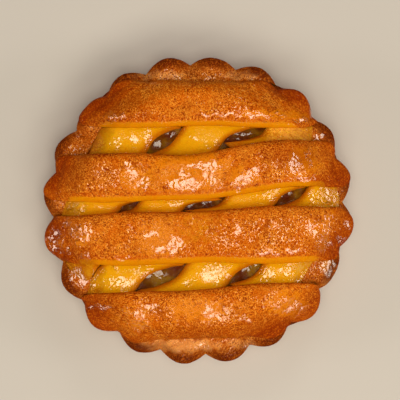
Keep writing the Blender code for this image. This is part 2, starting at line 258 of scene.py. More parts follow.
    # Facets: each crooked cell of a glint becomes a plane that leans its own way. Where the surface
    # is too steep for that, the cell keeps its slope and only leans, so that no ledge stands out.
    bend = add(tree, "ShaderNodeTexNoise", {
        "Vector": place, "Scale": 1.0 / (1.6 * MM), "Detail": 4.0, "Roughness": 0.65,
    }).outputs["Color"]
    bend = add(tree, "ShaderNodeVectorMath", {0: bend, "Scale": 2.0 * CELL_BEND}, operation="SCALE")
    cell = add(tree, "ShaderNodeTexVoronoi", {
        "Vector": add(tree, "ShaderNodeVectorMath", place, bend, operation="ADD"),
        "Scale": add(tree, "ShaderNodeMath", 1.0, given["Facet Size"], operation="DIVIDE"),
        "W": given["Seed"], "Randomness": 1.0,
    }, voronoi_dimensions="4D").outputs
    centre = add(tree, "ShaderNodeVectorMath", cell["Position"], (CELL_BEND,) * 3, operation="SUBTRACT")
    from_centre = add(tree, "ShaderNodeVectorMath", place, centre, operation="SUBTRACT")
    from_centre = add(tree, "ShaderNodeVectorMath", from_centre, (1.0, 1.0, 0.0), operation="MULTIPLY")
    lean = add(tree, "ShaderNodeVectorMath", cell["Color"], (0.5, 0.5, 0.5), operation="SUBTRACT")
    tilt = add(tree, "ShaderNodeVectorMath", from_centre, lean, operation="DOT_PRODUCT").outputs["Value"]
    tilt = add(tree, "ShaderNodeMath", tilt, given["Facet Slope"], operation="MULTIPLY")
    upward = add(tree, "ShaderNodeSeparateXYZ", normal).outputs["Z"]
    steepest = add(tree, "ShaderNodeMath", upward, FLAT_ENOUGH, operation="MAXIMUM")
    rise = add(tree, "ShaderNodeVectorMath", from_centre, normal, operation="DOT_PRODUCT").outputs["Value"]
    rise = add(tree, "ShaderNodeMath", rise, steepest, operation="DIVIDE")
    flat = add(tree, "ShaderNodeMapRange", upward, FLAT_ENOUGH, 0.82, interpolation_type="SMOOTHSTEP")
    rise = add(tree, "ShaderNodeMath", rise, flat, operation="MULTIPLY")
    facet = add(tree, "ShaderNodeMath", rise, tilt, operation="SUBTRACT")
    facet = add(tree, "ShaderNodeMath", facet, glint, operation="MULTIPLY")

    lift = add(tree, "ShaderNodeMath", wave, ripple, operation="ADD")
    fine = add(tree, "ShaderNodeMath", fine, facet, operation="ADD")
    lift = add(tree, "ShaderNodeMath", lift, fine, operation="ADD")
    lift = add(tree, "ShaderNodeMath", lift, field["loose"], operation="MULTIPLY")
    offset = add(tree, "ShaderNodeVectorMath", {0: normal, "Scale": lift}, operation="SCALE")
    moved = add(tree, "GeometryNodeSetPosition", {"Geometry": given["Geometry"], "Offset": offset})
    for title, value in (("glaze", smooth), ("speck", grain), ("scale", glint)):
        moved = add(
            tree, "GeometryNodeStoreNamedAttribute", {"Geometry": moved, "Name": title, "Value": value},
            data_type="FLOAT", domain="POINT",
        )
    solid = add(tree, "GeometryNodeRealizeInstances", moved)
    clad = add(tree, "GeometryNodeSetMaterial", {"Geometry": solid, "Material": given["Material"]})
    add(tree, "NodeGroupOutput", clad)
    return tree


def run_tree(piece, tree, inputs):
    """Run a Geometry Nodes tree on a piece, with its inputs by name, and keep the result as a plain mesh."""
    modifier = piece.modifiers.new(tree.name, "NODES")
    modifier.node_group = tree
    for item in tree.interface.items_tree:
        if item.item_type == "SOCKET" and item.in_out == "INPUT" and item.name in inputs:
            modifier[item.identifier] = inputs[item.name]
    graph = bpy.context.evaluated_depsgraph_get()
    mesh = bpy.data.meshes.new_from_object(piece.evaluated_get(graph), depsgraph=graph)
    piece.modifiers.remove(modifier)
    old = piece.data
    piece.data = mesh
    bpy.data.meshes.remove(old)
    mesh.name = piece.name
    mesh.shade_smooth()


def crust_material(name, base, pale, dark, brown, glazed, amber, flank):
    """Principled material of baked dough, coloured by the fields on its mesh.

    base is the colour of the bare crust, pale and dark its grains, brown where the oven reached
    it most and painted shade at a few edges and creases, glazed the colour under egg glaze, amber
    where the glaze gathered in a corner and painted shade beside the top strips and along the gaps,
    flank that of a side or patch where the glaze lies thin, smooth and streaked, which on the top
    strips' fronts is also painted light."""
    material = bpy.data.materials.new(name)
    material.use_nodes = True
    tree = material.node_tree
    shader = tree.nodes["Principled BSDF"]
    place = add(tree, "ShaderNodeTexCoord").outputs["Object"]
    field = {}
    for title in ("glaze", "speck", "scale", "grain", "glint", "flank", "brown", "amber"):
        field[title] = add(tree, "ShaderNodeAttribute", attribute_name=title).outputs["Fac"]

    # Patterns of a real size each. The crumb's true grain is about 0.2 mm, too fine to show, so
    # the fine grain is drawn one pixel wide, 0.32 mm.
    noise = {}
    for title, size, detail in (
        ("pale patches", 7.0 * MM, 3.0), ("dark patches", 5.0 * MM, 3.0), ("bare patches", 3.5 * MM, 1.0),
        ("wet patches", 4.0 * MM, 2.0), ("streaks", 2.6 * MM, 3.0), ("glint edge", 1.8 * MM, 3.0),
        ("flank edge", 1.6 * MM, 3.0), ("fine grain", 0.32 * MM, 0.5),
    ):
        noise[title] = add(tree, "ShaderNodeTexNoise", {
            "Vector": place, "Scale": 1.0 / size, "Detail": detail,
        })

    # Colour: pale and dark patches, then glaze, amber corners, smooth flanks and oven brown.
    pale_share = add(tree, "ShaderNodeMapRange", noise["pale patches"], 0.45, 0.65)
    dark_share = add(tree, "ShaderNodeMapRange", noise["dark patches"], 0.52, 0.7)
    flank_share = add(tree, "ShaderNodeMath", field["flank"], noise["flank edge"], operation="ADD")
    flank_share = add(tree, "ShaderNodeMapRange", flank_share, 0.8, 1.2)
    streaks = add(tree, "ShaderNodeMapRange", noise["streaks"], 0.35, 0.6, 0.65, 1.0)
    tone = base
    for share, strength, layer in (
        (pale_share, 0.25, pale), (dark_share, 0.4, dark), (field["glaze"], 0.85, glazed),
        (field["amber"], 1.0, amber), (flank_share, streaks, flank), (field["brown"], 1.0, brown),
    ):
        share = add(tree, "ShaderNodeMath", share, strength, operation="MULTIPLY")
        tone = add(tree, "ShaderNodeMix", {0: share, 6: tone, 7: layer}, data_type="RGBA").outputs[2]

    # Grain on top of it, less of it where glaze lies and where the crust is brown.
    bare = add(tree, "ShaderNodeMapRange", field["glaze"], 0.0, 1.0, 1.0, 0.5)
    bare = add(tree, "ShaderNodeMath", bare, field["grain"], operation="MULTIPLY")
    patches = add(tree, "ShaderNodeMapRange", noise["bare patches"], 0.35, 0.65, 0.55, 1.0)
    bare = add(tree, "ShaderNodeMath", bare, patches, operation="MULTIPLY")
    left = add(tree, "ShaderNodeMapRange", field["brown"], 0.4, 0.9, 1.0, 0.75)
    bare = add(tree, "ShaderNodeMath", bare, left, operation="MULTIPLY")
    baked = add(tree, "ShaderNodeMapRange", field["brown"], 0.1, 0.8, 0.0, 0.9)
    light_grain = add(tree, "ShaderNodeMix", {0: baked, 6: pale, 7: base}, data_type="RGBA").outputs[2]
    # Raised grains are drawn lighter and their hollows darker: partly the crumb's own colour, partly painted
    # light on the grain tops and painted shade in the hollows.
    for pattern, start, end, strength, layer in (
        (field["speck"], 0.08, 0.25, 0.85, light_grain), (field["speck"], -0.05, -0.25, 1.0, dark),
        (noise["fine grain"], 0.56, 0.64, 0.65, light_grain), (noise["fine grain"], 0.45, 0.36, 0.9, dark),
    ):
        share = add(tree, "ShaderNodeMapRange", pattern, start, end)
        strength = add(tree, "ShaderNodeMath", bare, strength, operation="MULTIPLY")
        share = add(tree, "ShaderNodeMath", share, strength, operation="MULTIPLY")
        tone = add(tree, "ShaderNodeMix", {0: share, 6: tone, 7: layer}, data_type="RGBA").outputs[2]
    tree.links.new(tone, shader.inputs["Base Color"])
    roughness = add(tree, "ShaderNodeMapRange", field["glaze"], 0.0, 1.0, 0.6, 0.4)
    tree.links.new(roughness.outputs[0], shader.inputs["Roughness"])

    # Gloss: full on the scales of glaze, some on grains in wet patches and near the scales.
    edge = add(tree, "ShaderNodeMath", noise["glint edge"], 0.9, operation="MULTIPLY")
    near = add(tree, "ShaderNodeMath", field["glint"], edge, operation="ADD")
    near = add(tree, "ShaderNodeMapRange", near, 0.6, 0.75)
    wet = add(tree, "ShaderNodeMapRange", noise["wet patches"], 0.5, 0.65, 0.0, 0.7)
    wet = add(tree, "ShaderNodeMath", wet, near, operation="MAXIMUM")
    wet = add(tree, "ShaderNodeMath", wet, field["grain"], operation="MULTIPLY")
    unbaked = add(tree, "ShaderNodeMapRange", field["brown"], 0.2, 0.6, 1.0, 0.3)
    wet = add(tree, "ShaderNodeMath", wet, unbaked, operation="MULTIPLY")
    raised = add(tree, "ShaderNodeMapRange", field["speck"], 0.1, 0.3, 0.0, 0.8)
    wet = add(tree, "ShaderNodeMath", raised, wet, operation="MULTIPLY")
    film = add(tree, "ShaderNodeMath", field["glaze"], DULL_FILM, operation="MULTIPLY")
    coat = add(tree, "ShaderNodeMath", film, wet, operation="MAXIMUM")
    coat = add(tree, "ShaderNodeMath", coat, field["scale"], operation="MAXIMUM")
    tree.links.new(coat.outputs[0], shader.inputs["Coat Weight"])
    bump = add(tree, "ShaderNodeBump", {
        "Strength": 0.8, "Distance": 0.12 * MM, "Height": noise["fine grain"],
    })
    tree.links.new(bump.outputs[0], shader.inputs["Normal"])
    shader.inputs["Coat Roughness"].default_value = 0.06
    shader.inputs["Coat IOR"].default_value = 1.6
    shader.inputs["Specular IOR Level"].default_value = 0.03
    shader.inputs["Subsurface Weight"].default_value = 0.15
    shader.inputs["Subsurface Radius"].default_value = (1.0, 0.4, 0.08)
    shader.inputs["Subsurface Scale"].default_value = 1.2 * MM
    return material


# Corners of the cup's section, from the middle of its base round to the middle of its floor, as
# radius, height and the number of rings up to the next corner. The rings have a point every
# 0.35 mm at the rim, fine enough for the grain.
shell_rows = [
    (2.0 * MM, 0.0, 3), (BASE_TIP_RADIUS - 1.2 * MM, 0.0, 3), (BASE_TIP_RADIUS + 0.6 * MM, 1.2 * MM, 48),
    (TIP_RADIUS - 0.7 * MM, RIM_HEIGHT - 1.4 * MM, 3), (TIP_RADIUS - 0.45 * MM, RIM_HEIGHT - 0.6 * MM, 4),
    (TIP_RADIUS - 1.5 * MM, RIM_HEIGHT, 34), (CAVITY_RADIUS + 0.6 * MM, RIM_HEIGHT, 2),
    (CAVITY_RADIUS, RIM_HEIGHT - 0.6 * MM, 4), (FLOOR_RADIUS, FLOOR_THICKNESS, 2),
    (2.0 * MM, FLOOR_THICKNESS, 0),
]
profile = []
for (radius, height, steps), (next_radius, next_height, _last) in zip(shell_rows, shell_rows[1:]):
    for step in range(steps):
        profile.append((mix(radius, next_radius, step / steps), mix(height, next_height, step / steps)))
profile.append(shell_rows[-1][:2])
profile = np.array(profile)
angle = np.linspace(0.0, 2.0 * math.pi, 880, endpoint=False)[None, :]
radius, height = profile[:, :1], profile[:, 1:]
share = height / RIM_HEIGHT
tip = mix(BASE_TIP_RADIUS, TIP_RADIUS, share)
cavity = mix(FLOOR_RADIUS, CAVITY_RADIUS, share)
fluted = smooth_step(cavity, tip - 1.5 * MM, radius)
lobe = flute_lobe(angle)
top = smooth_step(RIM_HEIGHT - 2.0 * MM, RIM_HEIGHT - 0.5 * MM, height)
ring_radius = radius - (tip - outline_radius(angle, height + 0.0 * angle)) * fluted
swell = LOBE_SWELL * lobe * np.exp(-(((radius - SWELL_RADIUS) / SWELL_WIDTH) ** 2))
crease = CREASE_DEPTH * np.exp(-((lobe / 0.2) ** 2)) * smooth_step(43.0 * MM, 47.0 * MM, radius)
ring_height = height + 0.0 * angle + top * (swell - crease - VALLEY_DROP * (1.0 - lobe) * fluted)
x, y = ring_radius * np.cos(angle), ring_radius * np.sin(angle)
outer = smooth_step(cavity + 1.0 * MM, tip - 2.0 * MM, radius)
shell = skin("fluted_crust", np.stack([x, y, ring_height], axis=-1), {
    "grain": 1.0 - 0.6 * spots(x, y, PALE_RIM[:1]) * top,
    "loose": smooth_step(0.0, 0.6 * MM, height),
    "pool": 0.2 * top,
    "glint": np.maximum(spots(x, y, RIM_GLINTS), 0.25) * top,
    "flank": 0.9 * spots(x, y, PALE_RIM) * top,
    "brown": np.clip(
        top * outer * mix(0.3, 1.0, lobe) * smooth_step(44.0 * MM, 48.2 * MM, radius)
        + 0.25 * outer * smooth_step(10.0 * MM, RIM_HEIGHT, height) * (1.0 - top)
        + 0.35 * outer * (1.0 - smooth_step(0.5 * MM, 3.5 * MM, height)), 0.0, 0.9,
    ),
})
dough_relief = relief_tree()
# Butter and sugar brown at the rim: a dry, grainy orange brown with pale crumbs, dark at the tips.
shortcrust = crust_material(
    "baked_shortcrust", base=colour("#bc5804"), pale=colour("#e69438"), dark=colour("#762400"),
    brown=colour("#440c00"), glazed=colour("#c46808"), amber=colour("#b06008"), flank=colour("#ea9c50"),
)
run_tree(shell, dough_relief, {"Material": shortcrust, "Wave Height": 0.25 * MM, "Seed": 1.0})
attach(shell, "root")
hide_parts("crust_shell")


# ---- Apple filling ------------------------------------------------------------------------
# Diced apple cooked down in its own syrup with brown sugar, spooned in up to the rim.
# It shows only through the gaps of the lattice, dark and wet.

CROWN = 1.4 * MM
SYRUP_RISE = 1.3 * MM
SYRUP_GLINTS = (
    (9.5, 22.5, 3.5, 0.8), (14.5, 24.0, 3.5, 0.7), (-13.0, 21.0, 1.8, 1.3), (-14.5, -20.4, 4.5, 1.3),
    (-9.0, 24.0, 1.4, 1.4), (-3.0, 2.0, 3.5, 0.9), (3.0, 3.0, 2.0, 1.0), (27.0, 5.5, 2.5, 1.1),
    (31.0, 7.5, 2.0, 1.0), (15.0, -18.0, 1.5, 2.0), (18.0, -16.5, 1.5, 1.2), (-25.0, 1.0, 2.0, 1.0),
)


def bed_height(radius):
    """Height of the filling's crown, and of the flat rim outside it."""
    return RIM_HEIGHT + CROWN * np.clip(1.0 - (radius / CAVITY_RADIUS) ** 2, 0.0, None)


wall = CAVITY_RADIUS - 0.2 * MM
level_rows = np.linspace(wall, 1.0 * MM, 120)
radius = np.concatenate([[2.0 * MM, FLOOR_RADIUS - 0.4 * MM], level_rows])[:, None]
angle = np.linspace(0.0, 2.0 * math.pi, 440, endpoint=False)[None, :]
height = bed_height(radius) + mix(SYRUP_RISE, -0.4 * MM, smooth_step(0.85 * wall, wall, radius))
height[:2] = FLOOR_THICKNESS + 0.2 * MM
x, y = radius * np.cos(angle), radius * np.sin(angle)
surface = np.ones_like(radius)
surface[:2] = 0.0
filling = skin("cooked_apple_syrup", np.stack([x, y, height + 0.0 * x], axis=-1), {
    "loose": surface, "pool": surface, "glint": spots(x, y, SYRUP_GLINTS) * surface,
})


def syrup_material():
    """Apple in brown syrup: dark olive to reddish brown patches, with a wet gloss on its ripples."""
    material = bpy.data.materials.new("apple_in_brown_syrup")
    material.use_nodes = True
    tree = material.node_tree
    shader = tree.nodes["Principled BSDF"]
    place = add(tree, "ShaderNodeTexCoord").outputs["Object"]
    patches = add(tree, "ShaderNodeTexNoise", {"Vector": place, "Scale": 1.0 / (5.0 * MM), "Detail": 3.0})
    ramp = add(tree, "ShaderNodeValToRGB", {0: patches.outputs["Fac"]})
    stops = ramp.color_ramp.elements
    stops[0].position = 0.35
    stops[0].color = colour("#5a2002")
    stops[1].position = 0.65
    stops[1].color = colour("#845c06")
    stops.new(0.5).color = colour("#683804")
    tree.links.new(ramp.outputs[0], shader.inputs["Base Color"])
    wet = add(tree, "ShaderNodeAttribute", attribute_name="scale").outputs["Fac"]
    coat = add(tree, "ShaderNodeMapRange", {0: wet, 3: 0.02, 4: 1.0})
    tree.links.new(coat.outputs[0], shader.inputs["Coat Weight"])
    shader.inputs["Roughness"].default_value = 0.4
    shader.inputs["Specular IOR Level"].default_value = 0.03
    shader.inputs["Coat Roughness"].default_value = 0.06
    shader.inputs["Subsurface Weight"].default_value = 0.3
    shader.inputs["Subsurface Radius"].default_value = (1.0, 0.4, 0.08)
    shader.inputs["Subsurface Scale"].default_value = 1.5 * MM
    return material


run_tree(filling, dough_relief, {
    "Material": syrup_material(), "Wave Length": 5.0 * MM, "Wave Height": 1.0 * MM,
    "Ripple Length": 1.6 * MM, "Ripple Height": 0.08 * MM, "Facet Size": 1.6 * MM, "Ragged": 0.6, "Seed": 4.0,
})
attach(filling, "root")
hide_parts("apple_filling")


# ---- Lower strips -------------------------------------------------------------------------
# Four bands of rolled dough laid on the slant over the filling. The top strips shield them
# from the oven's heat, so they stay pale, and egg glaze pools on them and makes them yellow.
# They spread where the top strips press on them, which leaves leaf-shaped gaps between them.

GAP = 0.3 * MM
LOWER_STRIPS = (
    ("lower_strip_1", -34.0 * MM, math.radians(65.0), 8.4 * MM),
    ("lower_strip_2", -12.5 * MM, math.radians(59.6), 6.8 * MM),
    ("lower_strip_3", 15.0 * MM, math.radians(59.6), 7.5 * MM),
    ("lower_strip_4", 38.5 * MM, math.radians(59.6), 6.8 * MM),
)
LOWER_REACH = 45.5 * MM
CORNER_INSET = 2.5 * MM
LOWER_COVERED_TO = 39.8 * MM
LOWER_THICKNESS = 3.2 * MM
LOWER_END_THICKNESS = 0.9 * MM
LOWER_THIN_FROM = 35.0 * MM
LOWER_END_SINK = 0.6 * MM
LOWER_RINGS = 330
SIDE_SHARE = 0.35
SPREAD_CURVE = 4.2
COVERED_CURVE = 3.0
TOP_STRIPS = (
    ("top_strip_1", (41.2 * MM, 41.2 * MM), (26.3 * MM, 26.3 * MM), (-30.0 * MM, 30.0 * MM)),
    ("top_strip_2", (17.6 * MM, 22.2 * MM), (2.7 * MM, 7.1 * MM), (-8.0 * MM, 32.0 * MM)),
    ("top_strip_3", (-1.6 * MM, 1.2 * MM), (-17.5 * MM, -16.6 * MM), (-44.0 * MM, 44.0 * MM)),
    ("top_strip_4", (-26.7 * MM, -23.3 * MM), (-42.2 * MM, -40.6 * MM), (-35.0 * MM, 35.0 * MM)),
)
EDGE_WOBBLE = 0.35 * MM
LOWER_GLINTS = (
    (-15.6, 22.4, 2.0, 3.2), (-21.0, 22.5, 1.4, 1.2), (-26.0, 21.0, 2.6, 2.0), (11.0, 23.5, 2.6, 1.3),
    (6.2, 21.0, 1.3, 2.0), (-2.0, 22.6, 1.6, 0.6), (2.5, 20.4, 1.3, 0.7), (38.0, 27.0, 2.0, 0.8),
    (40.6, 3.6, 6.0, 3.6), (-38.5, 1.2, 3.4, 3.0), (-5.7, 2.1, 5.0, 1.2), (23.2, 4.8, 2.6, 2.8),
    (5.2, 4.6, 1.1, 1.8), (32.4, -19.0, 6.0, 4.6), (5.7, -19.9, 4.8, 3.6), (-16.0, -20.5, 2.6, 3.2),
    (-25.0, -23.6, 5.6, 2.2), (-18.9, -19.0, 1.4, 1.9), (21.6, -20.7, 3.4, 2.6), (-26.2, -18.0, 1.4, 1.6),
    (-3.0, -23.0, 2.6, 1.2), (-31.0, -18.5, 0.8, 1.5), (-32.6, -21.5, 0.8, 1.8), (-34.0, -24.5, 0.8, 1.5),
    (-39.0, -21.0, 2.5, 3.0),
)
LOWER_SPARKLES = (
    (-22.0, 21.5, 10.0, 3.0), (7.0, 21.5, 10.0, 3.5), (-22.0, -21.0, 13.0, 4.5), (4.0, -21.0, 10.0, 4.0),
    (27.0, -19.5, 10.0, 4.0), (-30.0, 1.0, 10.0, 2.2), (20.0, 4.0, 8.0, 3.0), (33.0, 22.0, 9.0, 3.0),
    (-40.0, -20.0, 6.0, 6.0),
)
LOWER_SPARKLE_SHARE = 0.43
PALE_GRAIN = ((31.0, 24.0, 9.0, 5.0), (-33.5, 22.0, 3.0, 4.5))
BROWN_GRAIN = ((-40.0, -20.0, 4.5, 7.0),)
BROWN_EDGE = ((-34.5, 21.0, 6.0, 8.0),)
PRESSED_FLAT = ((-34.5, -20.5, 3.5, 6.0),)
PRESSED_SHARE = 0.55
OUTER_SLOPE = 0.6
CORNER_FILLET_BEHIND = 1.5 * MM
CORNER_FILLET_BEFORE = 1.4 * MM
FRONT_WINDOW = -14.0 * MM


def lower_thickness(radius):
    """Thickness of a lower strip, which is pressed thin where it reaches the rim."""
    return mix(LOWER_THICKNESS, LOWER_END_THICKNESS, smooth_step(LOWER_THIN_FROM, 43.8 * MM, radius))


def edge_line(ends, bend, x):
    """Distance along Y of a top strip's edge at x."""
    wobble = EDGE_WOBBLE * np.sin(x / (7.0 * MM) + ends[0] / MM)
    return mix(ends[0], ends[1], smooth_step(bend[0], bend[1], x)) + wobble


def spread_shares(x, y):
    """How far a lower strip has spread at its right edge and at its left edge, from 0 to 1.

    Each window between two top strips opens at its lower left and upper right corner last."""
    right, left = np.zeros_like(y), np.zeros_like(y)
    edges = [(edge_line(front, bend, x), edge_line(back, bend, x)) for _name, back, front, bend in TOP_STRIPS]
    for (upper_front, _upper_back), (_lower_front, lower_back) in zip(edges, edges[1:]):
        rise = np.clip((y - lower_back) / (upper_front - lower_back), 0.0, 1.0)
        inside = (y >= lower_back) & (y <= upper_front)
        right = np.where(inside, rise ** SPREAD_CURVE, right)
        left = np.where(inside, (1.0 - rise) ** SPREAD_CURVE, left)
    for front, back in edges:
        rise = np.clip((y - front) / (back - front), 0.0, 1.0)
        inside = (y > front) & (y < back)
        right = np.where(inside, (1.0 - rise) ** COVERED_CURVE, right)
        left = np.where(inside, rise ** COVERED_CURVE, left)
    return right, left


def straight_edge(strip, side, y):
    """x of a lower strip's straight left (-1) or right (1) edge at y."""
    _name, foot, lean, half_width = strip
    return foot + y / math.tan(lean) + side * half_width / math.sin(lean)


def spread_of_gap(left_strip, right_strip, x, y):
    """How far the dough on the left and on the right of a gap has moved into it."""
    start, end = straight_edge(left_strip, 1.0, y), straight_edge(right_strip, -1.0, y)
    room = np.clip(end - start - GAP, 0.0, None)
    from_left, from_right = spread_shares(x, y)
    closing = smooth_step(33.5 * MM, 38.0 * MM, np.hypot(0.5 * (start + end), y))
    rest = 0.5 * (1.0 - from_left - from_right) * closing
    return room * (from_left + rest), room * (from_right + rest)


def clear_of_top_strips(x, y):
    """Distance of a point from the nearest top strip's back edge below it and front edge above it."""
    behind, before = np.full_like(y, 1.0), np.full_like(y, 1.0)
    for _name, back, front, bend in TOP_STRIPS:
        from_back = y - edge_line(back, bend, x)
        from_front = edge_line(front, bend, x) - y
        behind = np.where(from_back > -2.0 * MM, np.minimum(behind, from_back), behind)
        before = np.where(from_front > -2.0 * MM, np.minimum(before, from_front), before)
    return behind, before


def strip_section(front_shoulder, back_shoulder, width, thickness, spacing):
    """Points round a strip's cross-section, evenly spaced: side from -1 to 1, and height share.

    They go up the back side, over the top, down the front and home along the underside."""
    turn = np.linspace(0.0, math.pi, 4001)
    power = np.where(turn < 0.5 * math.pi, 2.0 / back_shoulder, 2.0 / front_shoulder)
    side = np.sign(np.cos(turn)) * np.abs(np.cos(turn)) ** power
    level = mix(SIDE_SHARE, 1.0, np.sin(turn))
    side = np.concatenate([[1.0], side, [-1.0]])
    level = np.concatenate([[0.0], level, [0.0]])
    run = np.hypot(np.diff(side) * 0.5 * width, np.diff(level) * thickness)
    travelled = np.concatenate([[0.0], np.cumsum(run)])
    count = int(travelled[-1] / spacing)
    even = np.linspace(0.0, travelled[-1], count)
    side, level = np.interp(even, travelled, side), np.interp(even, travelled, level)
    under = np.linspace(-1.0, 1.0, 10)[1:-1]
    return np.concatenate([side, under]), np.concatenate([level, 0.0 * under])


def crowd_ends(value):
    """Move evenly spaced values from -1 to 1 closer together near both ends."""
    return mix(value, np.sin(0.5 * math.pi * value), 0.35)


def corner_fillet(away, height, width):
    """Height of the glaze that gathers against a top strip's edge, at a distance from that edge."""
    outside = np.exp(-away / width)
    under = np.clip(1.0 + away / (0.5 * MM), 0.0, 1.0)
    return height * np.where(away > 0.0, outside, under)


# Egg yolk over unbrowned dough: an even, saturated yellow, amber where the glaze gathers, and amber also as
# painted shade beside the top strips and along the gaps.
glazed_dough = crust_material(
    "egg_glazed_pale_dough", base=colour("#da8c04"), pale=colour("#f2bc2c"), dark=colour("#bc6a00"),
    brown=colour("#964404"), glazed=colour("#e6a400"), amber=colour("#be6600"), flank=colour("#f0a442"),
)
for number, lower_strip in enumerate(LOWER_STRIPS):
    name, foot, lean, half_width = lower_strip
    side, level = strip_section(2.8, 2.8, 2.0 * half_width, LOWER_THICKNESS, 0.18 * MM)
    along = (math.cos(lean), math.sin(lean))
    across = (-math.sin(lean), math.cos(lean))
    offset = (-foot * math.sin(lean) + side * half_width)[None, :]
    reach = np.sqrt((LOWER_REACH - CORNER_INSET * np.abs(side) ** 6) ** 2 - offset ** 2)
    front_end = np.maximum(-reach, (-LOWER_COVERED_TO - across[1] * offset) / along[1])
    back_end = np.minimum(reach, (LOWER_COVERED_TO - across[1] * offset) / along[1])
    station = crowd_ends(np.linspace(-1.0, 1.0, LOWER_RINGS))[:, None]
    run = mix(front_end, back_end, 0.5 + 0.5 * station)
    x = across[0] * offset + along[0] * run
    y = across[1] * offset + along[1] * run

    # Its edges spread into the gaps on both sides, except out on the rim.
    shift = 0.0 * x
    if number < 3:
        to_right, _from_right = spread_of_gap(lower_strip, LOWER_STRIPS[number + 1], x, y)
        shift += to_right * np.clip(-side, 0.0, 1.0) ** 1.5
    if number > 0:
        _from_left, to_left = spread_of_gap(LOWER_STRIPS[number - 1], lower_strip, x, y)
        shift -= to_left * np.clip(side, 0.0, 1.0) ** 1.5
    x = x + shift * (1.0 - smooth_step(40.5 * MM, 43.0 * MM, np.hypot(x, y)))

    # Its height: pressed thin at the ends, glaze in the corners, a slope on the pie's outer sides.
    radius = np.hypot(x, y)
    behind, before = clear_of_top_strips(x, y)
    fillet = corner_fillet(behind, CORNER_FILLET_BEHIND, 1.2 * MM)
    fillet = fillet + corner_fillet(before, CORNER_FILLET_BEFORE, 1.3 * MM)
    away = np.minimum(run - front_end, back_end - run)
    rounded = smooth_step(0.0, 3.0 * MM, away)
    z = bed_height(radius) + GAP - LOWER_END_SINK * smooth_step(38.0 * MM, 44.0 * MM, radius)
    body = lower_thickness(radius) * level[None, :] + fillet * smooth_step(0.3, 0.8, level)[None, :]
    outer_side = {0: side, 3: -side}.get(number, 0.0 * side)
    body = body * (1.0 - OUTER_SLOPE * smooth_step(0.4, 1.0, outer_side))[None, :]
    body = body * (1.0 - PRESSED_SHARE * spots(x, y, PRESSED_FLAT))
    z = z + body * mix(0.1, 1.0, rounded)

    # Its ends are grainy and browner. Glaze turns amber along its sides and in the corners: partly glaze that
    # gathered against the top strips, partly painted shade beside the top strips and along the sides that
    # face the gaps.
    ends = smooth_step(37.0 * MM, 43.0 * MM, radius)
    grainy = np.maximum(ends, np.clip(1.5 * spots(x, y, PALE_GRAIN + BROWN_GRAIN), 0.0, 1.0))
    # Amber next to a top strip's edge and on the sides facing the gaps is painted shade, on top of the amber
    # of the glaze that gathers there.
    painted_shade_behind = np.where(y < FRONT_WINDOW, 0.3, 0.8)
    amber = painted_shade_behind * np.exp(-np.abs(behind) / (1.5 * MM)) + 0.3 * np.exp(-np.abs(before) / (1.5 * MM))
    shaded_inner_side = smooth_step(0.6, 0.95, np.abs(side)) * (1.0 - 0.8 * smooth_step(0.4, 1.0, outer_side))
    amber = amber + 0.9 * shaded_inner_side[None, :]
    strip = skin(f"glazed_{name}", np.stack([x, y, z], axis=-1), {
        "grain": 0.4 + 0.6 * grainy,
        "loose": smooth_step(0.05, 0.3, level)[None, :] * mix(0.2, 1.0, rounded),
        "pool": 1.0 - 0.8 * grainy,
        "glint": np.maximum(spots(x, y, LOWER_GLINTS), LOWER_SPARKLE_SHARE * spots(x, y, LOWER_SPARKLES)),
        "flank": 0.7 * spots(x, y, PALE_GRAIN),
        "brown": np.maximum(
            0.6 * ends + 0.7 * smooth_step(0.2, 1.0, outer_side)[None, :] * spots(x, y, BROWN_EDGE),
            1.3 * spots(x, y, BROWN_GRAIN).clip(0.0, 0.65),
        ).clip(0.0, 0.9),
        "amber": np.clip(amber, 0.0, 1.0) * (1.0 - ends),
    }, tuck=14)
    run_tree(strip, dough_relief, {
        "Material": glazed_dough, "Wave Length": 5.0 * MM, "Wave Height": 0.45 * MM, "Ragged": 0.85,
        "Ripple Length": 2.0 * MM, "Ripple Height": 0.06 * MM, "Seed": 10.0 + number,
    })
    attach(strip, "root")
    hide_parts(name)


# ---- Top strips ---------------------------------------------------------------------------
# Four wider bands laid across from rim to rim over the lower ones, sagging between them.
# Their ends are pressed onto the rim and cut off along the tin's fluted edge. They are
# brushed with egg glaze, which runs off the crown in places and leaves the baked grain bare.

TOP_THICKNESS = 4.2 * MM
TOP_END_THICKNESS = 1.6 * MM
TOP_THIN_FROM = 37.0 * MM
TOP_THIN_TO = 46.0 * MM
TOP_END_SINK = 0.8 * MM
TOP_RINGS = 480
SHARP_CORNER_INSET = 7.0 * MM
SAG = 0.6 * MM
PRESS_RADIUS = 43.0 * MM
PRESS_DEPTH = 0.4 * MM
PRESS_WIDTH = 2.2 * MM
ROUND_EDGE = 49.6 * MM
FRONT_SHOULDER = 3.2
BACK_SHOULDER = 7.0
SKIRT_FROM = 0.8
# How much of each top strip's front side is pale with glaze. That pale side is partly the glazed, less
# browned dough and partly painted light on the side that faces the lamp.
GLAZED_AND_LIT_FRONTS = (1.0, 1.0, 1.0, 0.15)
AMBER_LINE = -0.68
AMBER_WIDTH = 0.07
GLAZE_POOLS = (
    (-2.0, 12.0, 13.0, 7.0), (-12.0, -9.0, 7.0, 6.0), (0.0, -31.5, 9.0, 3.5), (33.0, 15.0, 5.0, 5.0),
    (28.0, -30.0, 6.0, 4.0), (-20.0, 10.0, 4.0, 4.0), (15.0, 10.0, 5.0, 3.5), (24.0, 30.0, 12.0, 1.5),
)
SMOOTHER_GRAIN = ((0.5, -5.5, 8.0, 7.0),)
